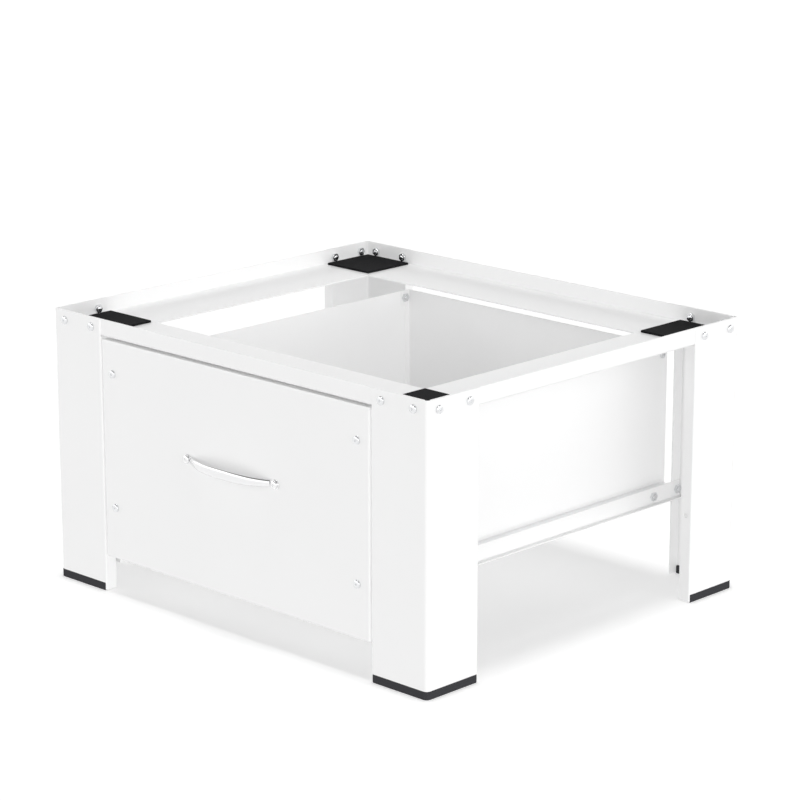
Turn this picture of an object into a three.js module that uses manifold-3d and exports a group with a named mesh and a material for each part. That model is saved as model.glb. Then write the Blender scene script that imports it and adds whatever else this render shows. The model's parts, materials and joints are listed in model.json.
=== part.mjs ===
// Washing machine pedestal with a pull-out drawer.
// Four folded sheet legs carry four L-section rails that make a shallow tray for the machine.
// Below it a folded sheet drawer runs on a pair of ball slides held by two side brackets.
//
// Units are millimetres. X is to the right, Y to the back, Z up. The floor is Z = 0.
// The pieces are worked out about the middle of the steel frame, and the whole group is then
// moved along Y so that the origin is below the middle of the overall box, handle included.

import * as THREE from 'three';
import { mergeVertices } from 'three/addons/utils/BufferGeometryUtils.js';
import Module from 'manifold-3d';

const wasm = await Module();
wasm.setup();

// ---- Driving dimensions -------------------------------------------------------------------

// steel frame, over its outer faces
const WIDTH = 630;
const DEPTH = 545;
const HEIGHT = 344;

// legs: a wide face to the front or back, a face to the side, a return flange on each
const LEG_SHEET = 1.5;
const LEG_FACE_WIDTH = 86;
const LEG_SIDE_WIDTH = 83;
const LEG_FLANGE = 16;
const LEG_CORNER_RADIUS = 5.5;
const LEG_BEND_RADIUS = 1.8;
const FLANGE_LIFT = 1;

// spare hole in the side flange of each leg
const SPARE_HOLE_RADIUS = 3;
const SPARE_HOLE_HEIGHT = 110;

// rubber feet: bars under the two faces of each leg
const FOOT_HEIGHT = 10;
const FOOT_THICKNESS = 4.3;
const FOOT_PROUD = 0.3;
const FOOT_END_GAP = 0.3;

// top rails: an upstand against the legs and a shelf turned inwards
const RAIL_SHEET = 2;
const RAIL_HEIGHT = 21.2;
const RAIL_BEND_RADIUS = 3;
const SHELF_REACH = 89;
const RAIL_TIP_INSET = 7;
const MITRE_GAP = 0.3;

// rubber pads on the corners of the shelf
const PAD_SIZE = 76;
const PAD_THICKNESS = 2.7;
const PAD_INSET = 8;

// side brackets: a web with a flange turned outwards, from leg to leg
const BRACKET_SHEET = 1.5;
const BRACKET_BOTTOM = 101;
const BRACKET_HEIGHT = 21.6;
const BRACKET_FLANGE = 8;
const BRACKET_BEND_RADIUS = 2.5;
const BRACKET_END_GAP = 0.3;

// ball slides between each bracket and the drawer
const SLIDE_THICKNESS = 10;
const SLIDE_HEIGHT = 20;
const SLIDE_END_GAP = 22.5;
const SLIDE_SHEET = 1.2;
const SLIDE_BEND_RADIUS = 1.8;
const OUTER_MEMBER_GAP = 1;
const INNER_MEMBER_DEPTH = 6;
const BALL_RADIUS = 1.5;
const BALL_GAP = 0.1;
const BALLS_PER_ROW = 6;
const BALL_PITCH = 20;
const CAGE_LENGTH = 120;
const CAGE_SHEET = 0.7;
const CAGE_GAP = 0.5;
const CAGE_LIP_GAP = 1.1;

// drawer front: a tray folded from sheet, open to the back
const DRAWER_SHEET = 1;
const FRONT_GAP = 3;
const FRONT_BOTTOM = 46;
const FRONT_TOP_GAP = 2.8;
const FRONT_DEPTH = 14;
const FRONT_BEND_RADIUS = 2;

// drawer box
const BOX_BOTTOM = 96;
const BOX_TOP_GAP = 27.8;
const BOX_BACK_INSET = 18.5;
const BOX_BEND_RADIUS = 2;
const SIDE_FRONT_FLANGE = 22;
const SIDE_BOTTOM_FLANGE = 12;
const BACK_FLANGE = 8.2;
const BACK_EAR_DEPTH = 16;
const BACK_EAR_HEIGHT = 20;
const BOTTOM_SHEET = 0.8;
const BOX_FIT_GAP = 0.3;

// handle: an oval bar, narrower at its ends, bowed between two lugs
const HANDLE_HEIGHT = 200.4;
const HANDLE_SPACING = 150;
const HANDLE_REACH = 18.3;
const BOW_SPAN = 135;
const BAR_THICKNESS = 4;
const BAR_HEIGHT = 12;
const BAR_END_HEIGHT = 8;
const LUG_WIDTH = 13;
const LUG_HEIGHT = 12;
const LUG_THICKNESS = 1.6;

// screws: M6 with pan heads, and the same with low heads where a moving piece passes
const SHANK_RADIUS = 3;
const HOLE_CLEARANCE = 0.35;
const HEAD_RADIUS = 5.1;
const HEAD_HEIGHT = 3;
const LOW_HEAD_RADIUS = 4;
const LOW_HEAD_HEIGHT = 1;
const NUT_FLATS = 10;
const NUT_HEIGHT = 3.4;
const SCREW_TAIL = 0.9;
const PAINT = 0.05;

// where the screws sit, from the outer corners of the frame or the ends of a piece
const FACE_BOLT_INSETS = [21, 70.2];
const SIDE_BOLT_INSETS = [18, 67];
const RAIL_BOLT_DROP = 12;
const BRACKET_BOLT_INSET = 8;
const SLIDE_BOLT_INSET = 32;
const FRONT_SCREW_INSET = 13.5;
const FRONT_SCREW_MARGIN = 15.5;
const BACK_BOLT_INSET = 9.5;
const BACK_BOLT_DROP = 9.5;

// smoothness: half the number of steps in a bend, and in a full circle
const BEND_STEPS = 2;
const CIRCLE_STEPS = 6;
const SCREW_SIDES = 10;
const BAR_STEPS = 28;

// ---- Sizes worked out from them -----------------------------------------------------------

const HALF_WIDTH = WIDTH / 2;
const HALF_DEPTH = DEPTH / 2;
const railBottom = HEIGHT - RAIL_HEIGHT;
const shelfTop = railBottom + RAIL_SHEET;
const railBoltHeight = HEIGHT - RAIL_BOLT_DROP;

const flangeX = HALF_WIDTH - LEG_FACE_WIDTH;
const flangeY = HALF_DEPTH - LEG_SIDE_WIDTH;
const bracketX = flangeX + LEG_SHEET;
const bracketMiddle = BRACKET_BOTTOM + BRACKET_HEIGHT / 2;
const bracketEnd = HALF_DEPTH - LEG_BEND_RADIUS - BRACKET_END_GAP;
const bracketBoltY = HALF_DEPTH - BRACKET_BOLT_INSET;

const boxX = bracketX - SLIDE_THICKNESS;
const boxBack = HALF_DEPTH - BOX_BACK_INSET;
const panelInside = -HALF_DEPTH + DRAWER_SHEET;
const frontHalfWidth = flangeX - FRONT_GAP;
const frontTop = railBottom - FRONT_TOP_GAP;
const floorTop = BOX_BOTTOM + DRAWER_SHEET + BOTTOM_SHEET;
const boxTop = railBottom - BOX_TOP_GAP;

const halfSlide = HALF_DEPTH - SLIDE_END_GAP;
const slideBoltY = halfSlide - SLIDE_BOLT_INSET;
const innerFlangeZ = SLIDE_HEIGHT / 2 - SLIDE_SHEET - 2 * (BALL_RADIUS + BALL_GAP);
const ballZ = innerFlangeZ + BALL_GAP + BALL_RADIUS;

const holeRadius = SHANK_RADIUS + HOLE_CLEARANCE;
const handleScrewX = HANDLE_SPACING / 2;
const lugBack = -HALF_DEPTH - PAINT;

// ---- Materials ----------------------------------------------------------------------------

const finish = (color, roughness, metalness) => ({ color, roughness, metalness });
const WHITE_COAT = finish(0xf2f2f1, 0.42, 0);
const BLACK_RUBBER = finish(0x222222, 0.85, 0);
const CHROME = finish(0xdadcde, 0.12, 1);
const ZINC = finish(0xb9bcc0, 0.38, 1);
const PLATED_SCREW = finish(0xc8cacd, 0.22, 1);

// ---- Solid helpers ------------------------------------------------------------------------

function toSolid(geometry) {
  const bare = geometry.index ? geometry.toNonIndexed() : geometry.clone();
  bare.deleteAttribute('normal');
  bare.deleteAttribute('uv');
  const merged = mergeVertices(bare, 1e-4);
  const vertProperties = Float32Array.from(merged.attributes.position.array);
  const triVerts = Uint32Array.from(merged.index.array);
  return new wasm.Manifold(new wasm.Mesh({ numProp: 3, vertProperties, triVerts }));
}

function toGeometry(solid) {
  const mesh = solid.getMesh();
  const geometry = new THREE.BufferGeometry();
  geometry.setAttribute('position', new THREE.BufferAttribute(mesh.vertProperties, 3));
  geometry.setIndex(new THREE.BufferAttribute(mesh.triVerts, 1));
  const faceted = geometry.toNonIndexed();
  faceted.computeVertexNormals();
  return faceted;
}

const join = (first, ...others) => others.reduce((sum, geometry) => sum.add(toSolid(geometry)), toSolid(first));
const cut = (solid, geometries) => geometries.reduce((rest, geometry) => rest.subtract(toSolid(geometry)), solid);

// ---- Shape helpers ------------------------------------------------------------------------

const AXIS_X = new THREE.Vector3(1, 0, 0);
const AXIS_Y = new THREE.Vector3(0, 1, 0);
const AXIS_Z = new THREE.Vector3(0, 0, 1);

// A section drawn in (y, z), (x, z) or (x, y) is pushed along x, y or z.
const PUSH = {
  x: (from) => new THREE.Matrix4().makeBasis(AXIS_Y, AXIS_Z, AXIS_X).setPosition(from, 0, 0),
  y: (from, to) => new THREE.Matrix4()
    .makeBasis(AXIS_X, AXIS_Z, AXIS_Y.clone().negate()).setPosition(0, to, 0),
  z: (from) => new THREE.Matrix4().setPosition(0, 0, from),
};

function extrude(shape, axis, from, to, steps = BEND_STEPS) {
  const options = { depth: to - from, bevelEnabled: false, curveSegments: steps };
  return new THREE.ExtrudeGeometry(shape, options).applyMatrix4(PUSH[axis](from, to));
}

const polygon = (points) => new THREE.Shape(points.map(([u, v]) => new THREE.Vector2(u, v)));
const rectangle = (u0, v0, u1, v1) => polygon([[u0, v0], [u1, v0], [u1, v1], [u0, v1]]);
const box = (x0, y0, z0, x1, y1, z1) => extrude(rectangle(x0, y0, x1, y1), 'z', z0, z1);
const span = (sign, near, far) => [sign * near, sign * far].sort((a, b) => a - b);

// A box in one of the four corners, its sizes given as for the one at +x, +y.
function cornerBox(sx, sy, x0, y0, z0, x1, y1, z1) {
  const [left, right] = span(sx, x0, x1);
  const [front, back] = span(sy, y0, y1);
  return box(left, front, z0, right, back, z1);
}

function hole(axis, u, v, radius, from, to) {
  const circle = new THREE.Shape().absarc(u, v, radius, 0, 2 * Math.PI, false);
  return extrude(circle, axis, from, to, CIRCLE_STEPS);
}

// The section of a folded sheet. Its outer skin runs through the points, with a square bend at
// each point between the ends, and the sheet lies on the side that the bends turn to.
function foldedSection(points, thickness, bendRadii) {
  const path = points.map(([u, v]) => new THREE.Vector2(u, v));
  const radii = Array.isArray(bendRadii) ? [...bendRadii] : points.slice(2).map(() => bendRadii);
  const along = (list) => list.slice(1).map((p, i) => p.clone().sub(list[i]).normalize());
  if (along(path)[0].cross(along(path)[1]) < 0) {
    path.reverse();
    radii.reverse();
  }
  const direction = along(path);
  const inward = direction.map((d) => new THREE.Vector2(-d.y, d.x));
  const bends = radii.map((radius, i) => ({
    radius,
    centre: path[i + 1].clone().addScaledVector(direction[i], -radius)
      .addScaledVector(direction[i + 1], radius),
    start: Math.atan2(-direction[i + 1].y, -direction[i + 1].x),
  }));
  const last = path.length - 1;
  const shape = new THREE.Shape();
  shape.moveTo(path[0].x, path[0].y);
  for (const { radius, centre, start } of bends) {
    shape.absarc(centre.x, centre.y, radius, start, start + Math.PI / 2, false);
  }
  shape.lineTo(path[last].x, path[last].y);
  const endInside = path[last].clone().addScaledVector(inward[last - 1], thickness);
  shape.lineTo(endInside.x, endInside.y);
  for (const { radius, centre, start } of [...bends].reverse()) {
    shape.absarc(centre.x, centre.y, radius - thickness, start + Math.PI / 2, start, true);
  }
  const startInside = path[0].clone().addScaledVector(inward[0], thickness);
  shape.lineTo(startInside.x, startInside.y);
  return shape;
}

// ---- Assembly -----------------------------------------------------------------------------

const pedestal = new THREE.Group();

function place(name, geometry, look, { position = [0, 0, 0], turn = 0 } = {}) {
  const mesh = new THREE.Mesh(geometry, new THREE.MeshStandardMaterial(look));
  mesh.name = name;
  mesh.position.set(...position);
  mesh.rotation.z = turn;
  pedestal.add(mesh);
  return mesh;
}

const SIDES = [{ side: 'left', sx: -1 }, { side: 'right', sx: 1 }];
const CORNERS = SIDES.flatMap(({ side, sx }) => [
  { corner: `front_${side}`, sx, sy: -1 },
  { corner: `rear_${side}`, sx, sy: 1 },
]);

// ---- Screws -------------------------------------------------------------------------------

// A screw with its nut, head up along +Y, its head seated on the height 0.
function screwGeometry(grip, headRadius, headHeight) {
  const length = grip + 2 * PAINT + NUT_HEIGHT + SCREW_TAIL;
  const profile = [
    [0, headHeight], [headRadius * 0.6, headHeight], [headRadius, headHeight * 0.45],
    [headRadius, 0], [SHANK_RADIUS, 0], [SHANK_RADIUS, -length], [0, -length],
  ].map(([r, h]) => new THREE.Vector2(r, h + PAINT)).reverse();
  const screw = new THREE.LatheGeometry(profile, SCREW_SIDES);
  const nutTop = -grip - PAINT;
  const nut = new THREE.CylinderGeometry(NUT_FLATS / Math.sqrt(3), NUT_FLATS / Math.sqrt(3), NUT_HEIGHT, 6);
  nut.translate(0, nutTop - NUT_HEIGHT / 2, 0);
  return toGeometry(join(screw, nut));
}

const panScrew = (grip) => screwGeometry(grip, HEAD_RADIUS, HEAD_HEIGHT);
const lowScrew = (grip) => screwGeometry(grip, LOW_HEAD_RADIUS, LOW_HEAD_HEIGHT);

function placeScrew(name, geometry, look, position, headDirection) {
  const mesh = place(name, geometry, look, { position });
  mesh.quaternion.setFromUnitVectors(AXIS_Y, new THREE.Vector3(...headDirection));
}

// ---- Legs, feet and pads ------------------------------------------------------------------

function legGeometry(sx, sy) {
  const outline = [
    [flangeX, HALF_DEPTH - LEG_FLANGE], [flangeX, HALF_DEPTH], [HALF_WIDTH, HALF_DEPTH],
    [HALF_WIDTH, flangeY], [HALF_WIDTH - LEG_FLANGE, flangeY],
  ].map(([x, y]) => [sx * x, sy * y]);
  const radii = [LEG_BEND_RADIUS, LEG_CORNER_RADIUS, LEG_BEND_RADIUS];
  const sheet = toSolid(extrude(foldedSection(outline, LEG_SHEET, radii), 'z', FLANGE_LIFT, HEIGHT));

  // Both faces stop at the top of the rubber foot, and the flanges run on down. At the top
  // the flanges stop below the rails, and the faces run on up.
  const innerX = HALF_WIDTH - LEG_SHEET;
  const innerY = HALF_DEPTH - LEG_SHEET;
  const flangeTop = railBottom - FLANGE_LIFT;
  const beyond = 1;
  const rooms = [
    cornerBox(sx, sy, bracketX, HALF_DEPTH - LEG_FLANGE, 0, HALF_WIDTH + beyond, HALF_DEPTH + beyond, FOOT_HEIGHT),
    cornerBox(sx, sy, HALF_WIDTH - LEG_FLANGE, flangeY + LEG_SHEET, 0,
      HALF_WIDTH + beyond, HALF_DEPTH + beyond, FOOT_HEIGHT),
    cornerBox(sx, sy, flangeX - beyond, HALF_DEPTH - 2 * LEG_FLANGE, flangeTop,
      flangeX + LEG_BEND_RADIUS, innerY, HEIGHT + beyond),
    cornerBox(sx, sy, HALF_WIDTH - 2 * LEG_FLANGE, flangeY - beyond, flangeTop,
      innerX, flangeY + LEG_BEND_RADIUS, HEIGHT + beyond),
  ];

  const through = (sign, outer) => span(sign, outer - LEG_SHEET - beyond, outer + beyond);
  const holes = [
    ...FACE_BOLT_INSETS.map((inset) =>
      hole('y', sx * (HALF_WIDTH - inset), railBoltHeight, holeRadius, ...through(sy, HALF_DEPTH))),
    ...SIDE_BOLT_INSETS.map((inset) =>
      hole('x', sy * (HALF_DEPTH - inset), railBoltHeight, holeRadius, ...through(sx, HALF_WIDTH))),
    hole('x', sy * bracketBoltY, bracketMiddle, holeRadius, ...through(sx, bracketX)),
    hole('y', sx * (HALF_WIDTH - LEG_FLANGE / 2), SPARE_HOLE_HEIGHT, SPARE_HOLE_RADIUS,
      ...through(sy, flangeY + LEG_SHEET)),
  ];
  return toGeometry(cut(sheet, [...rooms, ...holes]));
}

function footGeometry(sx, sy) {
  const outline = [
    [bracketX + FOOT_END_GAP, HALF_DEPTH + FOOT_PROUD],
    [HALF_WIDTH + FOOT_PROUD, HALF_DEPTH + FOOT_PROUD],
    [HALF_WIDTH + FOOT_PROUD, flangeY + LEG_SHEET + FOOT_END_GAP],
  ].map(([x, y]) => [sx * x, sy * y]);
  return extrude(foldedSection(outline, FOOT_THICKNESS, LEG_CORNER_RADIUS + FOOT_PROUD), 'z', 0, FOOT_HEIGHT);
}

for (const { corner, sx, sy } of CORNERS) {
  place(`${corner}_leg`, legGeometry(sx, sy), WHITE_COAT);
  place(`${corner}_foot`, footGeometry(sx, sy), BLACK_RUBBER);
  const pad = new THREE.BoxGeometry(PAD_SIZE, PAD_SIZE, PAD_THICKNESS);
  const fromCorner = PAD_INSET + PAD_SIZE / 2;
  const padHeight = shelfTop + PAD_THICKNESS / 2;
  place(`${corner}_pad`, pad, BLACK_RUBBER,
    { position: [sx * (HALF_WIDTH - fromCorner), sy * (HALF_DEPTH - fromCorner), padHeight] });
}

// ---- Top rails ----------------------------------------------------------------------------

// A rail drawn as the front one: it runs along x, with its outer skin at the leg's inner skin.
function railGeometry(halfRun, halfAcross, boltInsets) {
  const skin = -halfAcross + LEG_SHEET;
  const shelfEdge = -halfAcross + SHELF_REACH;
  const section = foldedSection([[skin, HEIGHT], [skin, railBottom], [shelfEdge, railBottom]],
    RAIL_SHEET, RAIL_BEND_RADIUS);
  const tip = halfRun - RAIL_TIP_INSET;
  const mitreStart = -halfAcross + RAIL_TIP_INSET - MITRE_GAP;
  const shelfEnd = halfRun - SHELF_REACH - MITRE_GAP;
  const beyond = 1;
  const plan = polygon([
    [-tip, skin - beyond], [tip, skin - beyond], [tip, mitreStart],
    [shelfEnd, shelfEdge], [-shelfEnd, shelfEdge], [-tip, mitreStart],
  ]);
  const mitred = toSolid(extrude(section, 'x', -halfRun, halfRun))
    .intersect(toSolid(extrude(plan, 'z', railBottom - beyond, HEIGHT + beyond)));
  const holes = [-1, 1].flatMap((end) => boltInsets.map((inset) =>
    hole('y', end * (halfRun - inset), railBoltHeight, holeRadius, skin - beyond, skin + RAIL_SHEET + beyond)));
  return toGeometry(cut(mitred, holes));
}

const longRail = railGeometry(HALF_WIDTH, HALF_DEPTH, FACE_BOLT_INSETS);
const crossRail = railGeometry(HALF_DEPTH, HALF_WIDTH, SIDE_BOLT_INSETS);
place('front_rail', longRail, WHITE_COAT);
place('right_rail', crossRail, WHITE_COAT, { turn: Math.PI / 2 });
place('rear_rail', longRail, WHITE_COAT, { turn: Math.PI });
place('left_rail', crossRail, WHITE_COAT, { turn: -Math.PI / 2 });

const railScrew = panScrew(LEG_SHEET + RAIL_SHEET);
for (const { corner, sx, sy } of CORNERS) {
  FACE_BOLT_INSETS.forEach((inset, i) => {
    placeScrew(`${corner}_face_bolt_${i + 1}`, railScrew, PLATED_SCREW,
      [sx * (HALF_WIDTH - inset), sy * HALF_DEPTH, railBoltHeight], [0, sy, 0]);
  });
  SIDE_BOLT_INSETS.forEach((inset, i) => {
    placeScrew(`${corner}_side_bolt_${i + 1}`, railScrew, PLATED_SCREW,
      [sx * HALF_WIDTH, sy * (HALF_DEPTH - inset), railBoltHeight], [sx, 0, 0]);
  });
}

// ---- Side brackets and ball slides --------------------------------------------------------

// Each is drawn on the right. The left one is the same piece turned half round.
function bracketGeometry() {
  const section = foldedSection([
    [bracketX, BRACKET_BOTTOM + BRACKET_HEIGHT], [bracketX, BRACKET_BOTTOM],
    [bracketX + BRACKET_FLANGE, BRACKET_BOTTOM],
  ], BRACKET_SHEET, BRACKET_BEND_RADIUS);
  const beyond = 1;
  const holes = [bracketBoltY, slideBoltY].flatMap((y) => [-y, y]).map((y) =>
    hole('x', y, bracketMiddle, holeRadius, bracketX - beyond, bracketX + BRACKET_SHEET + beyond));
  return toGeometry(cut(toSolid(extrude(section, 'y', -bracketEnd, bracketEnd)), holes));
}

// A channel in (x, z) with its web outwards or towards the drawer.
function channelSection(webX, lipX, halfHeight, thickness, bend) {
  return foldedSection([
    [lipX, bracketMiddle + halfHeight], [webX, bracketMiddle + halfHeight],
    [webX, bracketMiddle - halfHeight], [lipX, bracketMiddle - halfHeight],
  ], thickness, bend);
}

function outerMemberGeometry() {
  const section = channelSection(bracketX, boxX + OUTER_MEMBER_GAP, SLIDE_HEIGHT / 2,
    SLIDE_SHEET, SLIDE_BEND_RADIUS);
  const beyond = 1;
  const holes = [-slideBoltY, slideBoltY].map((y) =>
    hole('x', y, bracketMiddle, holeRadius, bracketX - SLIDE_SHEET - beyond, bracketX + beyond));
  return toGeometry(cut(toSolid(extrude(section, 'y', -halfSlide, halfSlide)), holes));
}

function innerMemberGeometry() {
  const section = channelSection(boxX, boxX + INNER_MEMBER_DEPTH, innerFlangeZ, SLIDE_SHEET, SLIDE_BEND_RADIUS);
  return extrude(section, 'y', -halfSlide, halfSlide);
}

// The cage is a thin channel that holds a row of balls above and below the inner member.
function cageGeometry() {
  const web = boxX + INNER_MEMBER_DEPTH + CAGE_GAP + CAGE_SHEET;
  const section = channelSection(web, boxX + OUTER_MEMBER_GAP + CAGE_LIP_GAP,
    ballZ + CAGE_SHEET / 2, CAGE_SHEET, 2 * CAGE_SHEET);
  let cage = toSolid(extrude(section, 'y', -CAGE_LENGTH / 2, CAGE_LENGTH / 2));
  const ballX = (boxX + OUTER_MEMBER_GAP + CAGE_LIP_GAP + web) / 2 - CAGE_SHEET / 2;
  for (let i = 0; i < BALLS_PER_ROW; i += 1) {
    const y = (i - (BALLS_PER_ROW - 1) / 2) * BALL_PITCH;
    for (const level of [-ballZ, ballZ]) {
      const ball = new THREE.SphereGeometry(BALL_RADIUS, 6, 4);
      ball.translate(ballX, y, bracketMiddle + level);
      cage = cage.add(toSolid(ball));
    }
  }
  return toGeometry(cage);
}

const bracket = bracketGeometry();
const outerMember = outerMemberGeometry();
const innerMember = innerMemberGeometry();
const cage = cageGeometry();
const bracketScrew = lowScrew(LEG_SHEET + BRACKET_SHEET);
const slideScrew = lowScrew(SLIDE_SHEET + BRACKET_SHEET);

for (const { side, sx } of SIDES) {
  const turn = sx > 0 ? 0 : Math.PI;
  place(`${side}_bracket`, bracket, WHITE_COAT, { turn });
  place(`${side}_slide_outer`, outerMember, ZINC, { turn });
  place(`${side}_slide_cage`, cage, ZINC, { turn });
  place(`${side}_slide_inner`, innerMember, ZINC, { turn });
  for (const [end, sy] of [['front', -1], ['rear', 1]]) {
    placeScrew(`${end}_${side}_bracket_bolt`, bracketScrew, PLATED_SCREW,
      [sx * flangeX, sy * bracketBoltY, bracketMiddle], [-sx, 0, 0]);
    placeScrew(`${end}_${side}_slide_bolt`, slideScrew, PLATED_SCREW,
      [sx * (bracketX - SLIDE_SHEET), sy * slideBoltY, bracketMiddle], [-sx, 0, 0]);
  }
}

// ---- Drawer -------------------------------------------------------------------------------

const frontScrewX = boxX - FRONT_SCREW_INSET;
const frontScrewHeights = [BOX_BOTTOM + FRONT_SCREW_MARGIN, boxTop - FRONT_SCREW_MARGIN];
const backBoltY = boxBack - BACK_BOLT_INSET;
const backBoltZ = boxTop - BACK_BOLT_DROP;

// A block with its front edges rounded, as deep as the tray it makes or hollows out.
function trayBlock(inset, backY) {
  const bend = FRONT_BEND_RADIUS - inset;
  const edge = inset + bend;
  const shape = rectangle(-frontHalfWidth + edge, FRONT_BOTTOM + edge, frontHalfWidth - edge, frontTop - edge);
  const frontY = -HALF_DEPTH + inset + bend;
  const options = {
    depth: backY - frontY, bevelEnabled: true, bevelThickness: bend, bevelSize: bend, bevelSegments: 3,
  };
  return new THREE.ExtrudeGeometry(shape, options).applyMatrix4(PUSH.y(frontY, backY));
}

function frontGeometry() {
  const rim = -HALF_DEPTH + FRONT_DEPTH;
  const spare = 2 * FRONT_DEPTH;
  const trim = box(-HALF_WIDTH, rim, 0, HALF_WIDTH, rim + 2 * spare, HEIGHT);
  const holes = [-1, 1].flatMap((sx) => [
    ...frontScrewHeights.map((z) => [sx * frontScrewX, z]),
    [sx * handleScrewX, HANDLE_HEIGHT],
  ]).map(([x, z]) => hole('y', x, z, holeRadius, -HALF_DEPTH - 1, panelInside + 1));
  const block = toSolid(trayBlock(0, rim + FRONT_DEPTH));
  return toGeometry(cut(block, [trayBlock(DRAWER_SHEET, rim + spare), trim, ...holes]));
}

function sideGeometry(sx) {
  const front = panelInside + PAINT;
  const mirrored = (points) => points.map(([u, v]) => [sx * u, v]);
  const plan = foldedSection(mirrored([
    [boxX - SIDE_FRONT_FLANGE, front], [boxX, front], [boxX, boxBack],
  ]), DRAWER_SHEET, BOX_BEND_RADIUS);
  const upright = foldedSection(mirrored([
    [boxX, boxTop], [boxX, BOX_BOTTOM], [boxX - SIDE_BOTTOM_FLANGE, BOX_BOTTOM],
  ]), DRAWER_SHEET, BOX_BEND_RADIUS);
  const lowest = BOX_BOTTOM + BOX_BEND_RADIUS;
  const wall = join(extrude(plan, 'z', lowest, boxTop),
    extrude(upright, 'y', front + BOX_BEND_RADIUS, boxBack));
  const holes = [
    ...frontScrewHeights.map((z) =>
      hole('y', sx * frontScrewX, z, holeRadius, front - 1, front + DRAWER_SHEET + 1)),
    hole('x', backBoltY, backBoltZ, holeRadius, ...span(sx, boxX - DRAWER_SHEET - 1, boxX + 1)),
  ];
  return toGeometry(cut(wall, holes));
}

function backGeometry() {
  const halfWidth = boxX - DRAWER_SHEET;
  const low = floorTop + BOX_FIT_GAP;
  const section = foldedSection([
    [-halfWidth, boxBack - BACK_FLANGE], [-halfWidth, boxBack],
    [halfWidth, boxBack], [halfWidth, boxBack - BACK_FLANGE],
  ], DRAWER_SHEET, BOX_BEND_RADIUS);
  const ears = [-1, 1].map((sx) => {
    const [left, right] = span(sx, halfWidth - DRAWER_SHEET, halfWidth);
    return box(left, boxBack - BACK_EAR_DEPTH, boxTop - BACK_EAR_HEIGHT,
      right, boxBack - BOX_BEND_RADIUS, boxTop);
  });
  const holes = [-1, 1].map((sx) =>
    hole('x', backBoltY, backBoltZ, holeRadius, ...span(sx, halfWidth - DRAWER_SHEET - 1, halfWidth + 1)));
  return toGeometry(cut(join(extrude(section, 'z', low, boxTop), ...ears), holes));
}

// The floor lies on the sides' bottom flanges, clear of their bends.
function floorGeometry() {
  const halfWidth = boxX - BOX_BEND_RADIUS - BOX_FIT_GAP;
  const front = panelInside + PAINT + BOX_BEND_RADIUS + BOX_FIT_GAP;
  const seat = BOX_BOTTOM + DRAWER_SHEET;
  return box(-halfWidth, front, seat, halfWidth, boxBack, floorTop);
}

place('drawer_front', frontGeometry(), WHITE_COAT);
place('drawer_floor', floorGeometry(), WHITE_COAT);
place('drawer_back', backGeometry(), WHITE_COAT);

const frontScrew = panScrew(2 * DRAWER_SHEET + PAINT);
const backScrew = panScrew(2 * DRAWER_SHEET);
for (const { side, sx } of SIDES) {
  place(`drawer_${side}_side`, sideGeometry(sx), WHITE_COAT);
  ['lower', 'upper'].forEach((level, i) => {
    placeScrew(`${side}_${level}_front_screw`, frontScrew, PLATED_SCREW,
      [sx * frontScrewX, -HALF_DEPTH, frontScrewHeights[i]], [0, -1, 0]);
  });
  placeScrew(`${side}_back_bolt`, backScrew, PLATED_SCREW, [sx * boxX, backBoltY, backBoltZ], [sx, 0, 0]);
}

// ---- Handle -------------------------------------------------------------------------------

// The bar rises from each lug and flattens towards the middle.
class BowCurve extends THREE.Curve {
  getPoint(t, target = new THREE.Vector3()) {
    const s = 2 * t - 1;
    const lowest = LUG_THICKNESS / 2;
    const highest = HANDLE_REACH - PAINT - BAR_THICKNESS / 2;
    const rise = lowest + (highest - lowest) * (1 - Math.abs(s) ** 3);
    return target.set(BOW_SPAN / 2 * s, lugBack - rise, HANDLE_HEIGHT);
  }
}

// The bar seen from the front: full height in the middle, and narrower towards both ends.
function leafGeometry() {
  const end = BOW_SPAN / 2 + BAR_THICKNESS;
  const low = HANDLE_HEIGHT - BAR_END_HEIGHT / 2;
  const high = HANDLE_HEIGHT + BAR_END_HEIGHT / 2;
  const swell = BAR_HEIGHT - BAR_END_HEIGHT;
  const leaf = new THREE.Shape();
  leaf.moveTo(-end, low);
  leaf.quadraticCurveTo(0, low - swell, end, low);
  leaf.lineTo(end, high);
  leaf.quadraticCurveTo(0, high + swell, -end, high);
  return extrude(leaf, 'y', lugBack - HANDLE_REACH, lugBack, CIRCLE_STEPS);
}

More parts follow.
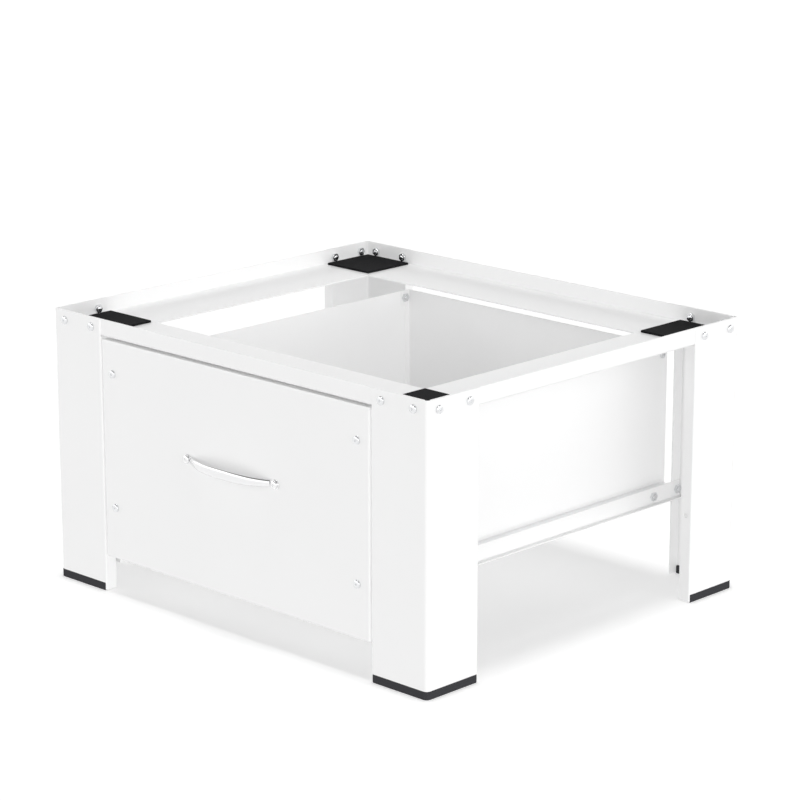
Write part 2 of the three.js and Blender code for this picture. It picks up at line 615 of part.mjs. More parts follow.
function handleGeometry() {
  const section = new THREE.Shape();
  section.absellipse(0, 0, BAR_HEIGHT / 2, BAR_THICKNESS / 2, 0, 2 * Math.PI, false, 0);
  const bow = new THREE.ExtrudeGeometry(section,
    { steps: BAR_STEPS, curveSegments: 5, bevelEnabled: false, extrudePath: new BowCurve() });
  let handle = toSolid(bow).intersect(toSolid(leafGeometry()));
  const radius = LUG_HEIGHT / 2;
  const flat = (LUG_WIDTH - LUG_HEIGHT) / 2;
  for (const sx of [-1, 1]) {
    const lug = new THREE.Shape();
    lug.absarc(sx * handleScrewX + flat, HANDLE_HEIGHT, radius, -Math.PI / 2, Math.PI / 2, false);
    lug.absarc(sx * handleScrewX - flat, HANDLE_HEIGHT, radius, Math.PI / 2, 1.5 * Math.PI, false);
    const [neckLeft, neckRight] = span(sx, (BOW_SPAN - BAR_THICKNESS) / 2, handleScrewX);
    const neck = box(neckLeft, lugBack - LUG_THICKNESS, HANDLE_HEIGHT - BAR_END_HEIGHT / 2,
      neckRight, lugBack, HANDLE_HEIGHT + BAR_END_HEIGHT / 2);
    handle = handle.add(toSolid(neck));
    handle = handle.add(toSolid(extrude(lug, 'y', lugBack - LUG_THICKNESS, lugBack, CIRCLE_STEPS)));
    const screw = panScrew(LUG_THICKNESS + DRAWER_SHEET).rotateX(Math.PI);
    screw.translate(sx * handleScrewX, lugBack - LUG_THICKNESS + PAINT, HANDLE_HEIGHT);
    handle = handle.add(toSolid(screw));
  }
  return toGeometry(handle);
}

place('drawer_handle', handleGeometry(), CHROME);

// The origin goes below the middle of the overall box.
const overall = new THREE.Box3().setFromObject(pedestal, true);
pedestal.position.y = -overall.getCenter(new THREE.Vector3()).y;

export default pedestal;
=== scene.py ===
"""Washing machine pedestal with a pull-out drawer.

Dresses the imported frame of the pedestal: folded and coated sheet, rubber feet and pads, plated
screws, ball slides and a chrome handle, on a pale floor in soft studio light.
"""

import json
import math

import bmesh
import bpy
from bpy.props import FloatProperty, FloatVectorProperty, IntProperty, PointerProperty
from mathutils import Matrix, Vector

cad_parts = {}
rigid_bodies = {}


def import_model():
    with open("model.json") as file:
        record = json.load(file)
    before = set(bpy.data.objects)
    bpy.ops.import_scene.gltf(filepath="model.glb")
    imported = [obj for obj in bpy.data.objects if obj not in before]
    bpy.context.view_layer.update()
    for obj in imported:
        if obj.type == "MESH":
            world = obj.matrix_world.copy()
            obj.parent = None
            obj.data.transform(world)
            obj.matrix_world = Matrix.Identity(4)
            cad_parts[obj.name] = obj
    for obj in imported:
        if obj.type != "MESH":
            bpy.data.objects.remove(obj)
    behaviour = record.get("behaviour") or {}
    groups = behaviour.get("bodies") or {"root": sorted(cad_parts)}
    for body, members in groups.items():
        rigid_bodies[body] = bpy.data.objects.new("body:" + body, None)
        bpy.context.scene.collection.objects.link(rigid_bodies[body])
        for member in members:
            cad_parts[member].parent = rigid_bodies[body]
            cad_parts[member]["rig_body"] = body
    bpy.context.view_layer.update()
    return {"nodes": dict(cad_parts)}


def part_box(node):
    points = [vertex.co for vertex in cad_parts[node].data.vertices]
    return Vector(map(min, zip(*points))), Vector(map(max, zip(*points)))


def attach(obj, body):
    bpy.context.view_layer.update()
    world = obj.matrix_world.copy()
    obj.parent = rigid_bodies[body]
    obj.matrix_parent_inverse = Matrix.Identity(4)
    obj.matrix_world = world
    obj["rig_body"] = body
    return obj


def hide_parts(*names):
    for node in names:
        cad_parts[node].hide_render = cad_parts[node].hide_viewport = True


bl_info = {
    "name": "Washer Pedestal Drawer",
    "version": (1, 0, 0),
    "blender": (4, 5, 0),
    "location": "3D View > Sidebar > Pedestal",
    "description": "Builds the looks of a washing machine pedestal with a drawer",
    "category": "Object",
}

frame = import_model()
MM = 0.001
QUARTER_TURN = math.pi / 2

SIDES = (("left", -1), ("right", 1))
CORNERS = (
    ("front_left", -1, -1),
    ("front_right", 1, -1),
    ("rear_left", -1, 1),
    ("rear_right", 1, 1),
)

GAP = 0.05 * MM  # Between pieces that would touch
BEYOND = 10 * MM  # How far a cutter reaches out of the piece that it cuts
SAME = 1e-6  # Coordinates closer than this are the same
MERGE = 1e-7  # Vertices closer than this become one

# Roundings of cut and moulded edges.
FOOT_EDGE = 0.5 * MM
PAD_CORNER = 0.6 * MM
PAD_EDGE = 0.35 * MM
NUT_EDGE = 0.35 * MM
SCREW_EDGE = 0.12 * MM
SLIDE_EDGE = 0.15 * MM
CAGE_EDGE = 0.1 * MM
DRAWER_EDGE = 0.2 * MM
FLOOR_EDGE = 0.15 * MM
LUG_EDGE = 0.5 * MM


# ---- Sizes and colours a user would change ------------------------------------------------


def length(name, description, default):
    """A length in metres, shown in the scene's units."""
    return FloatProperty(
        name=name, description=description, default=default, min=0.0, unit="LENGTH", precision=5
    )


def colour(name, description, default):
    """A colour in linear red, green and blue."""
    return FloatVectorProperty(
        name=name,
        description=description,
        default=default,
        min=0.0,
        max=1.0,
        size=3,
        subtype="COLOR",
    )


def strength(name, description, default):
    """The strength of a light, or a share of one."""
    return FloatProperty(name=name, description=description, default=default, min=0.0)


def count(name, description, default):
    """How many of something there are."""
    return IntProperty(name=name, description=description, default=default, min=2, max=24)


class SheetSizes(bpy.types.PropertyGroup):
    """Thicknesses, flanges and bends of the folded sheet."""

    leg_sheet: length("Leg sheet", "Thickness of the legs and brackets", 1.5 * MM)
    leg_flange: length("Leg flange", "Depth of the legs' return flanges", 16 * MM)
    corner_radius: length("Corner radius", "Outer radius of the legs' corners", 5.5 * MM)
    flange_fold: length("Flange fold", "Outer radius of the flanges' folds", 1.8 * MM)
    bracket_fold: length("Bracket fold", "Outer radius of the brackets' fold", 2.5 * MM)
    rail_sheet: length("Rail sheet", "Thickness of the rails", 2 * MM)
    rail_fold: length("Rail fold", "Outer radius of the rails' fold", 3 * MM)
    rail_tip: length("Rail tip inset", "From the leg's face to the end of a rail", 7 * MM)
    mitre_gap: length("Mitre gap", "Half the gap between two rails", 0.3 * MM)
    flange_gap: length("Flange gap", "From a flange's top to the rail above it", 1 * MM)
    drawer_sheet: length("Drawer sheet", "Thickness of the drawer's sheet", 1 * MM)
    drawer_fold: length("Drawer fold", "Outer radius of the drawer's folds", 2 * MM)
    drawer_relief: length("Drawer relief", "Cut-out beyond the folds at a side's corner", 1 * MM)
    drawer_ledge: length("Drawer ledge", "Depth of the sides' flanges under the floor", 12 * MM)
    back_flange: length("Back flange", "Depth of the drawer back's flanges", 8.2 * MM)
    back_ear: length("Back ear", "Height of the wider flanges at the back's top", 20 * MM)
    slide_sheet: length("Slide sheet", "Thickness of the slide members", 1.2 * MM)
    slide_fold: length("Slide fold", "Outer radius of the slide members' folds", 1.8 * MM)
    cage_sheet: length("Cage sheet", "Thickness of the ball cages", 0.7 * MM)
    edge: length("Edge rounding", "Rounding of cut edges under the coat", 0.3 * MM)
    steps: count("Fold steps", "Faces round a fold", 8)
    tray_steps: count("Tray fold steps", "Faces round a fold of the drawer front", 6)


class FittingSizes(bpy.types.PropertyGroup):
    """Feet, screws, nuts, balls and handle."""

    foot_thickness: length("Foot thickness", "Thickness of the rubber foot bars", 4.3 * MM)
    foot_bulge: length("Foot bulge", "By which a foot's corner is rounder than a leg's", 0.3 * MM)
    face_top: length("Foot height", "Height of the legs' faces over the floor", 10 * MM)
    spare_hole: length("Spare hole radius", "Radius of the hole in each side flange", 3 * MM)
    spare_height: length("Spare hole height", "Height of that hole over the floor", 110 * MM)
    shank: length("Shank radius", "Radius of the screws' shanks", 3 * MM)
    head: length("Head radius", "Radius of the pan heads", 5.1 * MM)
    head_height: length("Head height", "Height of the pan heads", 3 * MM)
    low_head: length("Low head radius", "Radius of the low heads by the slides", 4 * MM)
    low_head_height: length("Low head height", "Height of the low heads", 1 * MM)
    nut_flats: length("Nut across flats", "Width of the nuts", 10 * MM)
    nut_height: length("Nut height", "Height of the nuts", 3.4 * MM)
    tail: length("Screw tail", "How far a screw stands out of its nut", 0.9 * MM)
    ball: length("Ball radius", "Radius of the slides' balls", 1.5 * MM)
    ball_step: length("Ball step", "From one ball of a row to the next", 20 * MM)
    balls: count("Balls", "Balls in each row of a cage", 6)
    bow_span: length("Bow span", "Span of the handle's bar between its ends", 135 * MM)
    bar_height: length("Bar height", "Height of the handle's bar in the middle", 12 * MM)
    bar_end_height: length("Bar end height", "Height of the handle's bar at its ends", 8 * MM)
    bar_thickness: length("Bar thickness", "Thickness of the handle's bar", 4 * MM)
    lug_width: length("Lug width", "Width of the handle's lugs", 13 * MM)
    lug_radius: length("Lug radius", "Radius of the lugs' round ends", 6 * MM)
    lug_thickness: length("Lug thickness", "Thickness of the handle's lugs", 1.6 * MM)


class Finishes(bpy.types.PropertyGroup):
    """Colours of the finishes and the floor, and strengths of the light."""

    coat: colour("Powder coat", "White coat of the sheet", (0.9, 0.9, 0.9))
    rubber: colour("Rubber", "Black of the feet and pads", (0.011, 0.011, 0.012))
    chrome: colour("Chrome", "Plating of the handle", (0.83, 0.83, 0.835))
    plating: colour("Plating", "Plating of the screws and nuts", (0.94, 0.94, 0.94))
    zinc: colour("Zinc", "Plating of the slides", (0.85, 0.85, 0.855))
    floor: colour("Floor", "Pale floor", (0.95, 0.95, 0.95))
    glow: strength("Floor glow", "Light that comes through the floor", 0.25)
    room: strength("Room light", "Strength of the room's walls", 1.47)
    ceiling: strength("Ceiling", "Ceiling's share of the walls' light", 0.14)
    ground: strength("Ground", "Ground's share of the walls' light", 0.71)
    nadir: strength("Nadir", "The same share right below", 0.2)
    top: strength("Top light", "Strength of the top light", 1.05)
    right_fill: strength("Right fill", "Strength of the right fill", 0.53)
    low_fill: strength("Low fill", "Strength of the low fill", 0.42)


def sheet_sizes():
    return bpy.context.scene.pedestal_sheet


def fitting_sizes():
    return bpy.context.scene.pedestal_fittings


def finishes():
    return bpy.context.scene.pedestal_finishes


# ---- Materials ----------------------------------------------------------------------------


class Link:
    """A socket that can be added to and multiplied."""

    def __init__(self, recipe, socket):
        self.recipe = recipe
        self.socket = socket

    def maths(self, operation, first, second):
        return self.recipe.add("Math", {"operation": operation}, {0: first, 1: second})

    def __add__(self, other):
        return self.maths("ADD", self, other)

    def __radd__(self, other):
        return self.maths("ADD", other, self)

    def __mul__(self, other):
        return self.maths("MULTIPLY", self, other)

    def __rmul__(self, other):
        return self.maths("MULTIPLY", other, self)


class Recipe:
    """A material under construction, with one method that adds any node."""

    def __init__(self, name):
        self.material = bpy.data.materials.new(name)
        self.material.use_nodes = True
        self.tree = self.material.node_tree
        self.shader = self.tree.nodes["Principled BSDF"]
        self.place = self.add("TexCoord", {}, {}, "Object")

    def add(self, kind, settings, sockets, output=0):
        node = self.tree.nodes.new("ShaderNode" + kind)
        for key, value in settings.items():
            setattr(node, key, value)
        for key, value in sockets.items():
            self.put(node.inputs[key], value)
        return Link(self, node.outputs[output])

    def put(self, socket, value):
        if isinstance(value, Link):
            self.tree.links.new(value.socket, socket)
        else:
            socket.default_value = value

    def set(self, **values):
        """Sets the shader's sockets. Base_Color stands for Base Color."""
        for key, value in values.items():
            self.put(self.shader.inputs[key.replace("_", " ")], value)
        return self.material

    def noise(self, scale, detail, stretch=(1, 1, 1)):
        place = self.add("Mapping", {}, {"Vector": self.place, "Scale": stretch})
        return self.add("TexNoise", {}, {"Vector": place, "Scale": scale, "Detail": detail})

    def blend(self, factor, first, second):
        """A colour between two others."""
        sockets = {0: factor, 6: (*first, 1.0), 7: (*second, 1.0)}
        return self.add("Mix", {"data_type": "RGBA"}, sockets, output=2)

    def bump(self, height, strength, distance):
        sockets = {"Height": height, "Strength": strength, "Distance": distance}
        return self.add("Bump", {}, sockets)


def shade(tone, factor):
    """A tone made lighter or darker by a factor."""
    return tuple(min(1.0, channel * factor) for channel in tone)


def powder_coat():
    """Satin white powder coat: faint tone drift and the fine orange peel of baked powder."""
    recipe = Recipe("powder_coat")
    tone = finishes().coat
    drift = recipe.noise(scale=7, detail=3)
    gloss = recipe.noise(scale=60, detail=4)
    peel = recipe.noise(scale=520, detail=2)
    grit = recipe.noise(scale=2600, detail=1)
    return recipe.set(
        Base_Color=recipe.blend(drift, shade(tone, 0.985), shade(tone, 1.01)),
        Roughness=0.34 + 0.1 * gloss,
        Normal=recipe.bump(peel + grit * 0.25, strength=0.12, distance=0.12 * MM),
        IOR=1.5,
        Specular_IOR_Level=0.45,
    )


def black_rubber(name, lift):
    """Matt rubber with a fine moulded grain and a dusting of lighter specks."""
    recipe = Recipe(name)
    tone = finishes().rubber
    grain = recipe.noise(scale=1400, detail=3)
    dust = recipe.noise(scale=2300, detail=1)
    specks = recipe.add("MapRange", {}, {"Value": dust, "From Min": 0.62, "From Max": 0.72})
    return recipe.set(
        Base_Color=recipe.blend(specks, shade(tone, lift), shade(tone, lift * 2.2)),
        Roughness=0.68 + 0.2 * grain,
        Normal=recipe.bump(grain, strength=0.35, distance=0.15 * MM),
        Specular_IOR_Level=0.05,
    )


def plated(name, tone, rough, grain=(1, 1, 1), depth=0.03):
    """Plated metal with hairlines along its length and small changes of gloss."""
    recipe = Recipe(name)
    hairline = recipe.noise(scale=900, detail=3, stretch=grain)
    cloud = recipe.noise(scale=45, detail=3)
    return recipe.set(
        Base_Color=recipe.blend(cloud, shade(tone, 0.94), shade(tone, 1.04)),
        Roughness=rough * 0.8 + hairline * (rough * 0.5),
        Normal=recipe.bump(hairline, strength=depth, distance=0.05 * MM),
        Metallic=1.0,
    )


def pale_floor():
    """A dull pale floor with a faint drift of tone, lit from below as well."""
    recipe = Recipe("pale_floor")
    tone = finishes().floor
    return recipe.set(
        Base_Color=recipe.blend(recipe.noise(scale=3, detail=4), shade(tone, 0.995), tone),
        Roughness=0.9,
        Specular_IOR_Level=0.0,
        Emission_Color=(1.0, 1.0, 1.0, 1.0),
        Emission_Strength=finishes().glow,
    )


def finish_named(name):
    """The material of that name, made the first time it is asked for."""
    found = bpy.data.materials.get(name)
    if found:
        return found
    look = finishes()
    makers = {
        "powder_coat": powder_coat,
        "pad_rubber": lambda: black_rubber(name, lift=1.0),
        "foot_rubber": lambda: black_rubber(name, lift=4.0),
        "handle_chrome": lambda: plated(name, look.chrome, rough=0.08, grain=(0.2, 1, 1)),
        "screw_plating": lambda: plated(name, look.plating, rough=0.4),
        "slide_zinc": lambda: plated(name, look.zinc, rough=0.34, grain=(1, 0.06, 1), depth=0.12),
        "ball_steel": lambda: plated(name, look.chrome, rough=0.06),
        "pale_floor": pale_floor,
    }
    return makers[name]()


# ---- Making pieces ------------------------------------------------------------------------

# A section is drawn in two axes, u and v, and pushed along the third, w.
PUSH = {
    "x": lambda u, v, w: Vector((w, u, v)),
    "y": lambda u, v, w: Vector((u, w, v)),
    "z": lambda u, v, w: Vector((u, v, w)),
}
# Which coordinates u and v are.
FLAT = {"x": (1, 2), "y": (0, 2), "z": (0, 1)}


def piece_from(bm, name):
    """A new object from a bmesh, at the origin with its place in its mesh."""
    mesh = bpy.data.meshes.new(name)
    bm.to_mesh(mesh)
    bm.free()
    piece = bpy.data.objects.new(name, mesh)
    bpy.context.scene.collection.objects.link(piece)
    return piece


def settle(piece):
    """Applies a piece's modifiers to its mesh."""
    bpy.context.view_layer.update()
    graph = bpy.context.evaluated_depsgraph_get()
    mesh = bpy.data.meshes.new_from_object(piece.evaluated_get(graph))
    old = piece.data
    piece.modifiers.clear()
    piece.data = mesh
    mesh.name = piece.name
    bpy.data.meshes.remove(old)


def block(bm, low, high):
    """A box between two corners, made in a bmesh."""
    low, high = Vector(low), Vector(high)
    grown = bmesh.ops.create_cube(bm, size=1.0)["verts"]
    bmesh.ops.scale(bm, vec=high - low, verts=grown)
    bmesh.ops.translate(bm, vec=(low + high) / 2, verts=grown)
    return grown


def rod(bm, axis, u, v, radius, start, end, sides=32):
    """A rod along an axis, made in a bmesh."""
    turn = {
        "x": Matrix.Rotation(QUARTER_TURN, 3, "Y"),
        "y": Matrix.Rotation(QUARTER_TURN, 3, "X"),
    }
    grown = bmesh.ops.create_cone(
        bm, cap_ends=True, segments=sides, radius1=radius, radius2=radius, depth=end - start
    )["verts"]
    if axis in turn:
        bmesh.ops.rotate(bm, cent=(0, 0, 0), matrix=turn[axis], verts=grown)
    bmesh.ops.translate(bm, vec=PUSH[axis](u, v, (start + end) / 2), verts=grown)
    return grown


def only(parts, kind):
    """The verts or edges in a list of mixed parts."""
    return [part for part in parts if isinstance(part, kind)]


def fold_sheet(name, axis, points, folds, start, end, sheet):
    """A strip of sheet folded along its length. The points are corners of its outer skin."""
    bm = bmesh.new()
    row = [bm.verts.new(PUSH[axis](u, v, start)) for u, v in points]
    line = [bm.edges.new(pair) for pair in zip(row, row[1:])]
    grown = bmesh.ops.extrude_edge_only(bm, edges=line)["geom"]
    far = only(grown, bmesh.types.BMVert)
    bmesh.ops.translate(bm, verts=far, vec=PUSH[axis](0, 0, end - start))
    face_out(bm, axis, points)
    for point, radius in zip(points[1:-1], folds):
        bend(bm, axis, point, radius)
    return give_wall(piece_from(bm, name), sheet)


def face_out(bm, axis, points):
    """Turns the faces of an unbent strip away from the side that it folds to."""
    a, b, c = (Vector(point) for point in points[:3])
    first, second = b - a, c - b
    side = 1 if first.cross(second) > 0 else -1
    outward = PUSH[axis](side * first.y, -side * first.x, 0)
    bm.normal_update()
    centre = PUSH[axis](*((a + b) / 2), 0)
    u, v = FLAT[axis]

    def off(face):
        middle = face.calc_center_median()
        return abs(middle[u] - centre[u]) + abs(middle[v] - centre[v])

    nearest = min(bm.faces, key=off)
    if nearest.normal.dot(outward) < 0:
        bmesh.ops.reverse_faces(bm, faces=bm.faces)


def bend(bm, axis, point, radius):
    """Rounds the crease that runs along an axis through a point of the section."""
    u, v = FLAT[axis]

    def on_crease(vert):
        return abs(vert.co[u] - point[0]) + abs(vert.co[v] - point[1]) < SAME

    crease = [edge for edge in bm.edges if all(on_crease(vert) for vert in edge.verts)]
    bevel(bm, crease, radius, sheet_sizes().steps)


def bevel(bm, edges, radius, segments):
    bmesh.ops.bevel(
        bm,
        geom=edges,
        offset=radius,
        offset_type="OFFSET",
        segments=segments,
        profile=0.5,
        affect="EDGES",
        material=-1,
    )


def rise(edge):
    """How far an edge climbs."""
    first, second = edge.verts
    return abs(first.co.z - second.co.z)


def folded_edges(bm):
    """The edges where two faces of a sheet meet."""
    return [edge for edge in bm.edges if len(edge.link_faces) == 2]


def give_wall(piece, sheet):
    """Gives a surface its thickness, inwards from its outer skin."""
    wall = piece.modifiers.new("wall", "SOLIDIFY")
    wall.thickness = sheet
    wall.offset = -1
    wall.use_even_offset = True
    settle(piece)
    return piece


def combine(piece, operation, tools):
    """Cuts other objects out of a piece, or fuses them with it, and removes them."""
    for tool in tools:
        step = piece.modifiers.new("combine", "BOOLEAN")
        step.operation = operation
        step.solver = "EXACT"
        step.object = tool
    settle(piece)
    for tool in tools:
        bpy.data.objects.remove(tool)
    return piece


def cut(piece, *shapes):
    """Takes each shape, given as a function that builds it in a bmesh, out of a piece."""
    tools = []
    for shape in shapes:
        bm = bmesh.new()
        shape(bm)
        tools.append(piece_from(bm, "cutter"))
    return combine(piece, "DIFFERENCE", tools)


def notch(xs, ys, zs):
    """A box for cut(), between two limits in each axis."""
    (x0, x1), (y0, y1), (z0, z1) = sorted(xs), sorted(ys), zs
    return lambda bm: block(bm, (x0, y0, z0), (x1, y1, z1))


def join_into(piece, other):
    """Adds another object's mesh to a piece."""
    bm = bmesh.new()
    bm.from_mesh(piece.data)
    bm.from_mesh(other.data)
    bm.to_mesh(piece.data)
    bm.free()
    bpy.data.objects.remove(other)


def soften(piece, width, segments=2, angle=40):
    """Rounds the sharp edges and keeps the flat faces flat to the eye."""
    piece.data.shade_smooth()
    edge = piece.modifiers.new("edges", "BEVEL")
    edge.width = width
    edge.segments = segments
    edge.limit_method = "ANGLE"
    edge.angle_limit = math.radians(angle)
    weigh = piece.modifiers.new("shading", "WEIGHTED_NORMAL")
    weigh.mode = "FACE_AREA"
    weigh.weight = 100
    settle(piece)
    return piece


def dress(piece, node, slot, *materials):
    """Gives a piece its materials and puts it in place of its node."""
    for material in materials:
        piece.data.materials.append(finish_named(material))
    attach(piece, frame["nodes"][node]["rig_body"])
    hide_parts(node)
    return piece


class Corner:
    """The outer and inner limits of a corner piece, taken from its node."""

    def __init__(self, node, sx, sy):
        low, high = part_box(node)
        self.out_x, self.in_x = (high.x, low.x) if sx > 0 else (low.x, high.x)
        self.out_y, self.in_y = (high.y, low.y) if sy > 0 else (low.y, high.y)
        self.low, self.high = low.z, high.z


# ---- Legs, feet and pads ------------------------------------------------------------------


class PEDESTAL_OT_legs(bpy.types.Operator):
    """Fold the four legs and cut their flanges and holes"""

    bl_idname = "pedestal.legs"
    bl_label = "Legs"

    def execute(self, context):
        for corner, sx, sy in CORNERS:
            self.fold_leg(f"{corner}_leg", sx, sy)
        return {"FINISHED"}

    def fold_leg(self, node, sx, sy):
        size, fitting = sheet_sizes(), fitting_sizes()
        at = Corner(node, sx, sy)
        sheet, flange, fold = size.leg_sheet, size.leg_flange, size.flange_fold
        flange_x, flange_y = at.out_x - sx * flange, at.out_y - sy * flange
        path = [
            (at.in_x, flange_y),
            (at.in_x, at.out_y),
            (at.out_x, at.out_y),
            (at.out_x, at.in_y),
            (flange_x, at.in_y),
        ]
        folds = (fold, size.corner_radius, fold)
        leg = fold_sheet(f"{node}_sheet", "z", path, folds, at.low, at.high, sheet)

        # The faces end over the foot, and the flanges reach the floor.
        far_x, far_y = at.out_x + sx * BEYOND, at.out_y + sy * BEYOND
        under = (-BEYOND, fitting.face_top)
        under_face = notch((at.in_x + sx * sheet, far_x), (flange_y, far_y), under)
        under_side = notch((flange_x, far_x), (at.in_y + sy * sheet, far_y), under)

        # The flanges end under the rails.
        over = (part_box("front_rail")[0].z - size.flange_gap, at.high + BEYOND)
        over_face_flange = notch(
            (at.in_x - sx * BEYOND, at.in_x + sx * fold),
            (at.out_y - sy * 2 * flange, at.out_y - sy * sheet),
            over,
        )
        over_side_flange = notch(
            (at.out_x - sx * 2 * flange, at.out_x - sx * sheet),
            (at.in_y - sy * BEYOND, at.in_y + sy * fold),
            over,
        )

        hole_x = at.out_x - sx * flange / 2
        ends = sorted((at.in_y - sy * BEYOND, at.in_y + sy * BEYOND))

        def spare_hole(bm):
            rod(bm, "y", hole_x, fitting.spare_height, fitting.spare_hole, *ends)

        cut(leg, under_face, under_side, over_face_flange, over_side_flange, spare_hole)
        soften(leg, size.edge)
        dress(leg, node, "white_coat", "powder_coat")


class PEDESTAL_OT_feet(bpy.types.Operator):
    """Mould the rubber feet and the pads of the tray"""

    bl_idname = "pedestal.feet"
    bl_label = "Feet and pads"

    def execute(self, context):
        for corner, sx, sy in CORNERS:
            self.mould_foot(f"{corner}_foot", sx, sy)
            self.cut_pad(f"{corner}_pad")
        return {"FINISHED"}

    def mould_foot(self, node, sx, sy):
        fitting = fitting_sizes()
        at = Corner(node, sx, sy)
        path = [(at.in_x, at.out_y), (at.out_x, at.out_y), (at.out_x, at.in_y)]
        folds = (sheet_sizes().corner_radius + fitting.foot_bulge,)
        thick = fitting.foot_thickness
        foot = fold_sheet(f"{node}_bar", "z", path, folds, at.low, at.high, thick)
        soften(foot, FOOT_EDGE, segments=3)
        dress(foot, node, "black_rubber", "foot_rubber")

    def cut_pad(self, node):
        bm = bmesh.new()
        block(bm, *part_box(node))
        bevel(bm, [edge for edge in bm.edges if rise(edge) > SAME], PAD_CORNER, segments=3)
        pad = piece_from(bm, f"{node}_mat")
        soften(pad, PAD_EDGE, segments=3)
        dress(pad, node, "black_rubber", "pad_rubber")


# ---- Rails --------------------------------------------------------------------------------


class PEDESTAL_OT_rails(bpy.types.Operator):
    """Fold the four rails of the tray and mitre their shelves"""

    bl_idname = "pedestal.rails"
    bl_label = "Rails"

    def execute(self, context):
        self.fold_rail("front_rail", "x", 1)
        self.fold_rail("rear_rail", "x", -1)
        self.fold_rail("left_rail", "y", 1)
        self.fold_rail("right_rail", "y", -1)
        return {"FINISHED"}

    def fold_rail(self, node, axis, inward):
        size = sheet_sizes()
        low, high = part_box(node)
        run, across = (0, 1) if axis == "x" else (1, 0)
        skin, edge = (low, high) if inward > 0 else (high, low)
        path = [(skin[across], high.z), (skin[across], low.z), (edge[across], low.z)]
        rail = fold_sheet(
            f"{node}_sheet", axis, path, (size.rail_fold,), low[run], high[run], size.rail_sheet
        )
        reach = high[across] - low[across]
        back = reach + size.leg_sheet - size.rail_tip + size.mitre_gap
        bm = bmesh.new()
        bm.from_mesh(rail.data)
        for end, tip in ((-1, low[run]), (1, high[run])):
            point, normal = Vector(), Vector()
            point[run], point[across] = tip - end * back, edge[across]
            normal[run], normal[across] = end, inward
            self.mitre(bm, point, normal)
        bmesh.ops.recalc_face_normals(bm, faces=bm.faces)
        bm.to_mesh(rail.data)
        bm.free()
        soften(rail, size.edge)
        dress(rail, node, "white_coat", "powder_coat")

    def mitre(self, bm, point, normal):
        """Cuts off what lies beyond a plane and closes the cut."""
        parts = list(bm.verts) + list(bm.edges) + list(bm.faces)
        seam = bmesh.ops.bisect_plane(
            bm, geom=parts, dist=MERGE, plane_co=point, plane_no=normal, clear_outer=True
        )["geom_cut"]
        bmesh.ops.holes_fill(bm, edges=only(seam, bmesh.types.BMEdge), sides=0)


# ---- Screws and nuts ----------------------------------------------------------------------

DOME_STEPS = 6
DOME_FOOT = 0.45  # Height that a head's dome starts from, as a share of the head's
HEAD_RIM = ((1.0, 0.4), (1.0, 0.08), (0.97, 0.0))  # Shares of the head's radius and height
TIP_CHAMFER = 0.6 * MM
RECESS_REACH = 0.5  # Half the length of a cross recess, as a share of the head's radius
RECESS_DEPTH = 0.32  # As a share of the head's height
RECESS_HALF_WIDTH = 0.55 * MM
RECESS_TAPER = (0.35, 0.6, 1)  # Size of a recess's foot against its top


def turned(bm, profile, steps=40):
    """A body of revolution about Z from its profile of radius and height."""
    verts = [bm.verts.new((r, 0, h)) for r, h in profile]
    edges = [bm.edges.new(pair) for pair in zip(verts, verts[1:])]
    bmesh.ops.spin(
        bm,
        geom=verts + edges,
        cent=(0, 0, 0),
        axis=(0, 0, 1),
        angle=2 * math.pi,
        steps=steps,
        use_merge=True,
    )
    bmesh.ops.remove_doubles(bm, verts=bm.verts, dist=MERGE)
    bmesh.ops.recalc_face_normals(bm, faces=bm.faces)


def recess_wing(turn, reach, top, depth):
    """One wedge of a cross recess, wide at the top and narrow at its foot."""

    def shape(bm):
        half = RECESS_HALF_WIDTH
        wedge = block(bm, (-reach, -half, top - depth), (reach, half, top + MM))
        foot = [vert for vert in wedge if vert.co.z < top]
        bmesh.ops.scale(bm, vec=RECESS_TAPER, verts=foot)
        spin = Matrix.Rotation(turn, 3, "Z")
        bmesh.ops.rotate(bm, cent=(0, 0, 0), matrix=spin, verts=wedge)

    return shape


def make_screw(name, grip, radius, height):
    """A machine screw with its nut. The head points up and is seated at the height 0."""
    size = fitting_sizes()
    tip = -(grip + 2 * GAP + size.nut_height + size.tail)
    dome = []
    for step in range(DOME_STEPS):
        angle = step / DOME_STEPS * QUARTER_TURN
        level = DOME_FOOT + (1 - DOME_FOOT) * math.cos(angle)
        dome.append((radius * math.sin(angle), height * level))
    rim = [(radius * across, height * level) for across, level in HEAD_RIM]
    shank = [
        (size.shank, 0),
        (size.shank, tip + TIP_CHAMFER),
        (size.shank - TIP_CHAMFER, tip),
        (0, tip),
    ]
    bm = bmesh.new()
    turned(bm, [(r, h + GAP) for r, h in dome + rim + shank])
    screw = piece_from(bm, name)
    recess = (radius * RECESS_REACH, height, height * RECESS_DEPTH)
    cut(screw, recess_wing(0, *recess), recess_wing(QUARTER_TURN, *recess))
    combine(screw, "UNION", [make_nut(-grip - GAP)])
    return soften(screw, SCREW_EDGE, angle=50)


def make_nut(top):
    """A hex nut below a height, with its rims rounded."""
    size = fitting_sizes()
    corner = size.nut_flats / math.sqrt(3)
    bm = bmesh.new()
    bmesh.ops.create_cone(
        bm, cap_ends=True, segments=6, radius1=corner, radius2=corner, depth=size.nut_height
    )
    bmesh.ops.translate(bm, vec=(0, 0, top - size.nut_height / 2), verts=bm.verts)
    bevel(bm, [edge for edge in bm.edges if rise(edge) < SAME], NUT_EDGE, segments=3)
    return piece_from(bm, "nut")


def seated(seat, direction):
    """The matrix that takes a screw to its seat, with its head in a direction."""
    turn = Vector((0, 0, 1)).rotation_difference(Vector(direction)).to_matrix().to_4x4()
    return Matrix.Translation(seat) @ turn


